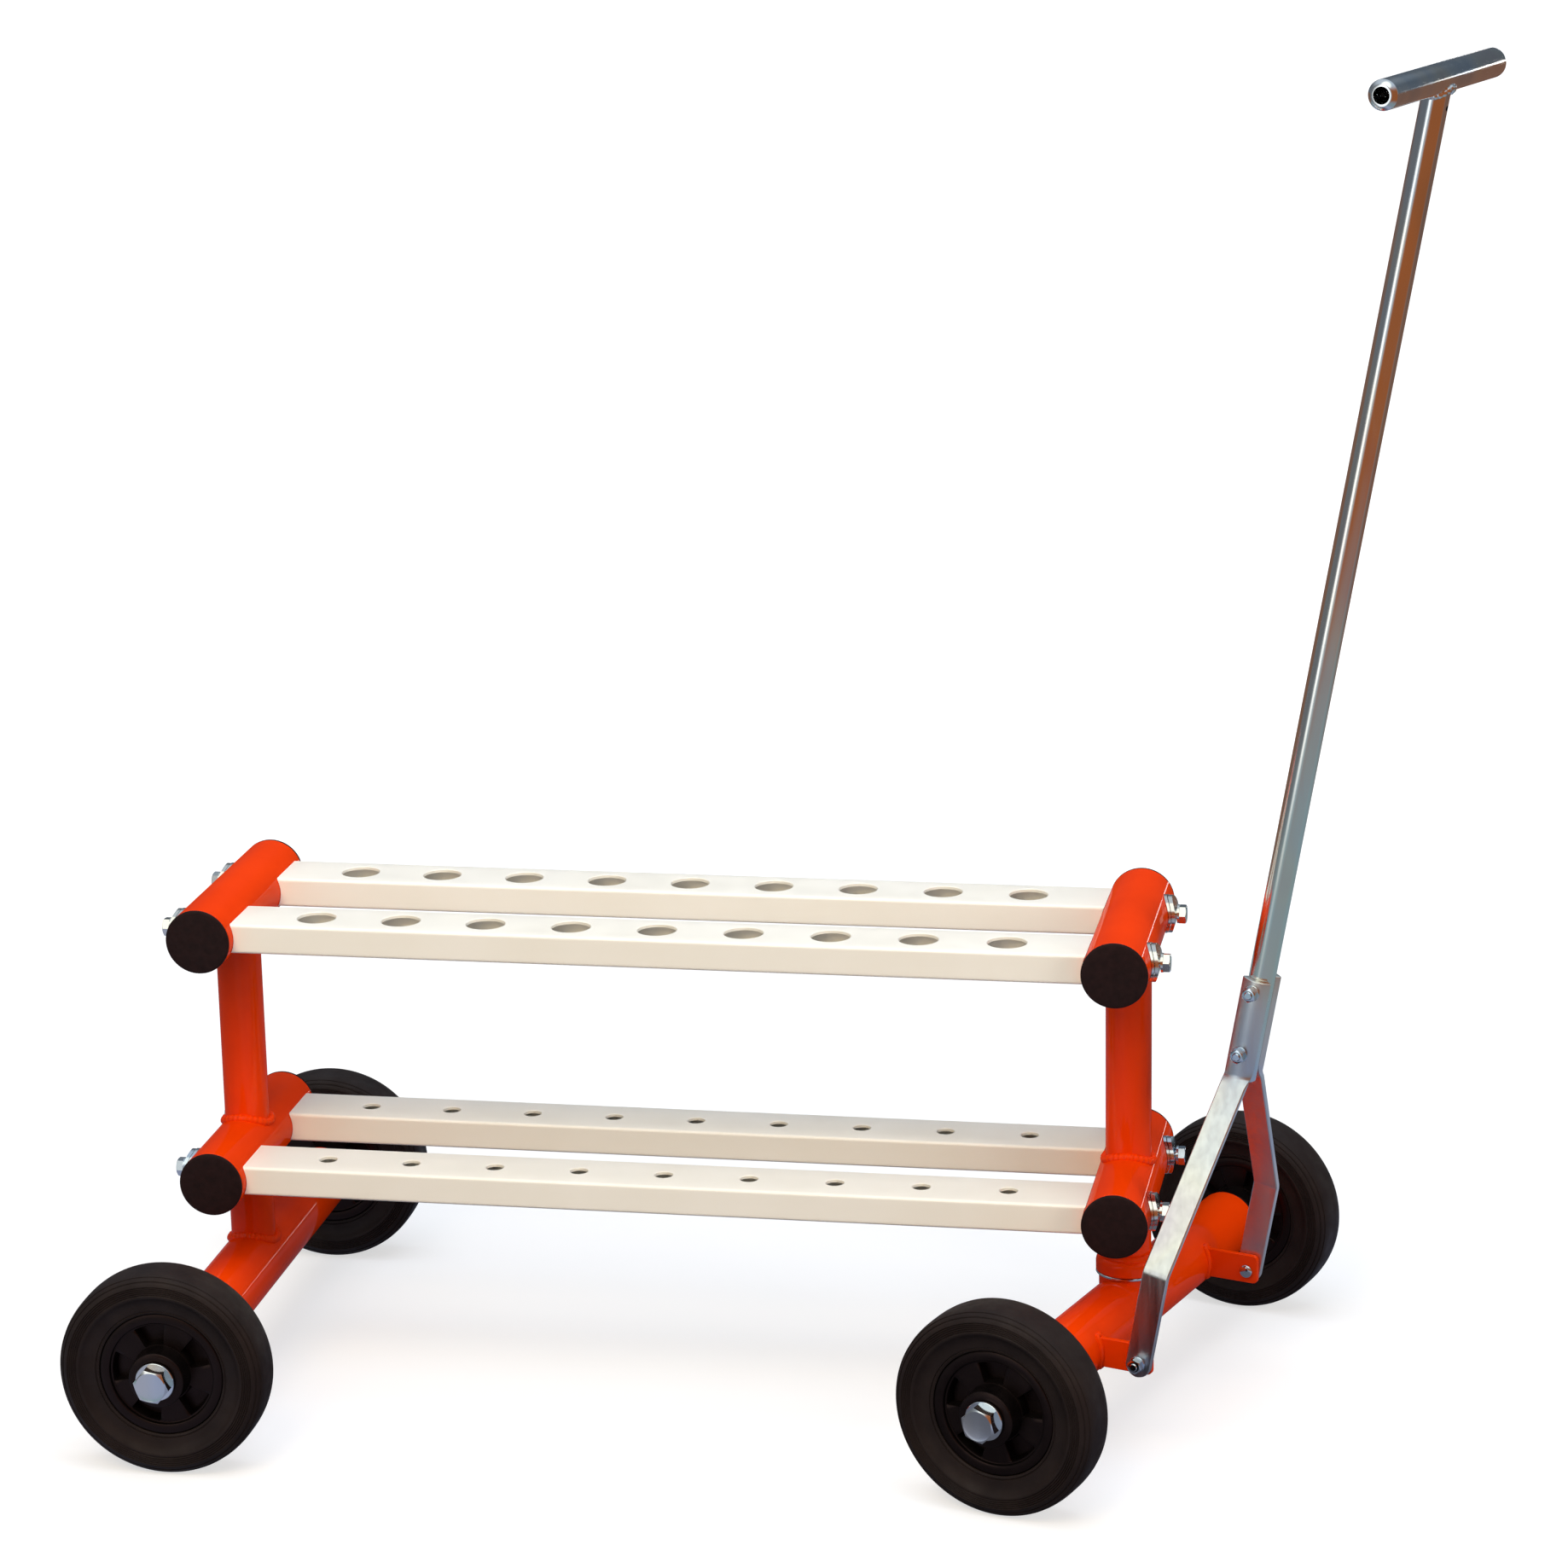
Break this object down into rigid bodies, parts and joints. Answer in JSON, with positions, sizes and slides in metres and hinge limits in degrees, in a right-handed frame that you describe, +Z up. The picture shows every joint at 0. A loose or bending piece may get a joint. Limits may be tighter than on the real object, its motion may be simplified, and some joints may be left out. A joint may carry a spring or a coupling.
{
  "type": "javelin cart",
  "caption": "Four-wheeled steel cart with two tiers of holed rails that stand javelins upright, a steering front axle and a folding T-handled drawbar.",
  "frame": {"origin": "on the ground, below the middle of the cart's outline as pictured, handle included", "axes": "+X from the rear axle towards the drawbar, +Y to the far side, +Z up"},
  "size_m": [1.0454, 0.532, 1.0366],
  "materials": {
    "orange_paint": "gloss",
    "cream_paint": "satin",
    "bright_zinc": "bright zinc plated",
    "black_cap": "matt",
    "black_rim": "semi-gloss",
    "tyre_rubber": "matt",
    "sleeve_steel": "turned"
  },
  "bodies": {
    "chassis": {"bottom_rail_far": "cream_paint", "bottom_rail_near": "cream_paint", "end_cap_front_bottom_far": "black_cap", "end_cap_front_bottom_near": "black_cap", "end_cap_front_top_far": "black_cap", "end_cap_front_top_near": "black_cap", "end_cap_rear_bottom_far": "black_cap", "end_cap_rear_bottom_near": "black_cap", "end_cap_rear_top_far": "black_cap", "end_cap_rear_top_near": "black_cap", "front_frame": "orange_paint", "kingpin_bolt": "bright_zinc", "rail_bolt_front_bottom_far": "bright_zinc", "rail_bolt_front_bottom_near": "bright_zinc", "rail_bolt_front_top_far": "bright_zinc", "rail_bolt_front_top_near": "bright_zinc", "rail_bolt_rear_bottom_far": "bright_zinc", "rail_bolt_rear_bottom_near": "bright_zinc", "rail_bolt_rear_top_far": "bright_zinc", "rail_bolt_rear_top_near": "bright_zinc", "rear_frame": "orange_paint", "saddle_washer_front_bottom_far": "bright_zinc", "saddle_washer_front_bottom_near": "bright_zinc", "saddle_washer_front_top_far": "bright_zinc", "saddle_washer_front_top_near": "bright_zinc", "saddle_washer_rear_bottom_far": "bright_zinc", "saddle_washer_rear_bottom_near": "bright_zinc", "saddle_washer_rear_top_far": "bright_zinc", "saddle_washer_rear_top_near": "bright_zinc", "top_rail_far": "cream_paint", "top_rail_near": "cream_paint", "wheel_bolt_rear_far": "bright_zinc", "wheel_bolt_rear_near": "bright_zinc", "wheel_sleeve_rear_far": "sleeve_steel", "wheel_sleeve_rear_near": "sleeve_steel"},
    "steering": {"front_axle": "orange_paint", "pivot_bolt_far": "bright_zinc", "pivot_bolt_near": "bright_zinc", "pivot_nut_far": "bright_zinc", "pivot_nut_near": "bright_zinc", "slip_washer": "sleeve_steel", "wheel_bolt_front_far": "bright_zinc", "wheel_bolt_front_near": "bright_zinc", "wheel_sleeve_front_far": "sleeve_steel", "wheel_sleeve_front_near": "sleeve_steel"},
    "drawbar": {"clamp_bolt_lower": "bright_zinc", "clamp_bolt_upper": "bright_zinc", "clamp_nut_lower": "bright_zinc", "clamp_nut_upper": "bright_zinc", "drawbar_leg_far": "bright_zinc", "drawbar_leg_near": "bright_zinc", "handle": "bright_zinc"},
    "wheel_rear_near": {"rim_rear_near": "black_rim", "tyre_rear_near": "tyre_rubber"},
    "wheel_rear_far": {"rim_rear_far": "black_rim", "tyre_rear_far": "tyre_rubber"},
    "wheel_front_near": {"rim_front_near": "black_rim", "tyre_front_near": "tyre_rubber"},
    "wheel_front_far": {"rim_front_far": "black_rim", "tyre_front_far": "tyre_rubber"}
  },
  "joints": [
    {"name": "steer", "type": "hinge", "parent": "chassis", "child": "steering", "pos_m": [0.25729, 0, 0.1], "axis": [0, 0, 1], "range_deg": [-7, 43]},
    {"name": "drawbar_fold", "type": "hinge", "parent": "steering", "child": "drawbar", "pos_m": [0.31103, -0.01746, 0.08], "axis": [0.309, 0.9511, 0], "range_deg": [-1, 83]},
    {"name": "roll_rear_near", "type": "hinge", "parent": "chassis", "child": "wheel_rear_near", "pos_m": [-0.44271, -0.226, 0.08], "axis": [0, 1, 0], "continuous": true},
    {"name": "roll_rear_far", "type": "hinge", "parent": "chassis", "child": "wheel_rear_far", "pos_m": [-0.44271, 0.226, 0.08], "axis": [0, 1, 0], "continuous": true},
    {"name": "roll_front_near", "type": "hinge", "parent": "steering", "child": "wheel_front_near", "pos_m": [0.18746, -0.21494, 0.08], "axis": [0.309, 0.9511, 0], "continuous": true},
    {"name": "roll_front_far", "type": "hinge", "parent": "steering", "child": "wheel_front_far", "pos_m": [0.32713, 0.21494, 0.08], "axis": [0.309, 0.9511, 0], "continuous": true}
  ]
}
